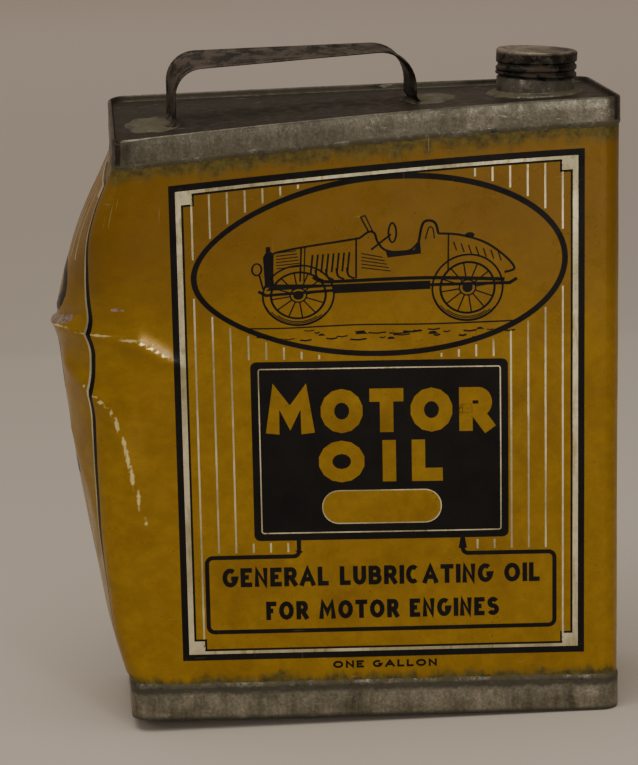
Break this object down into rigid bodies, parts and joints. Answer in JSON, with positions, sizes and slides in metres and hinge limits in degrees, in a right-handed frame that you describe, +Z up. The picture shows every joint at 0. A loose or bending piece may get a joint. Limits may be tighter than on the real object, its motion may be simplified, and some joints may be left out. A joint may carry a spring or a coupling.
{
  "type": "oil can",
  "caption": "Flat rectangular one-gallon oil can of soldered tinplate with a strap handle, a screw cap and one crushed side.",
  "frame": {"origin": "centre of the base rim, on the surface the can stands on", "axes": "+Z up, +Y from the printed front panel to the back, +X from the crushed side to the spout side"},
  "size_m": [0.2286, 0.0774, 0.275],
  "materials": {
    "litho_tinplate": "aged gloss lithography",
    "bare_tinplate": "tarnished",
    "solder": "dull solder",
    "spout_tin": "tarnished",
    "cap_tin": "dark oiled and rusty",
    "handle_tin": "dark tarnish",
    "cork": "oiled cork"
  },
  "bodies": {
    "can": {"body_sheet": "litho_tinplate", "side_seam_solder": "solder", "top_end": "bare_tinplate", "bottom_end": "bare_tinplate", "top_seam_solder": "solder", "bottom_seam_solder": "solder", "spout_neck": "spout_tin", "spout_solder": "solder", "handle_strap": "handle_tin", "handle_solder_left": "solder", "handle_solder_right": "solder"},
    "liner": {"cap_liner": "cork"},
    "cap": {"cap_shell": "cap_tin"}
  },
  "joints": [
    {"name": "cap_lift", "type": "slide", "parent": "can", "child": "liner", "axis": [0.0523, 0, 0.9986], "range_m": [0, 0.0159]},
    {"name": "cap_turn", "type": "hinge", "parent": "liner", "child": "cap", "pos_m": [0.074, 0.009, 0.25319], "axis": [0.0523, 0, 0.9986], "range_deg": [0, 1800]}
  ],
  "couplings": [
    {"joint": "cap_lift", "follows": "cap_turn", "m_per_rad": 0.00050532}
  ]
}
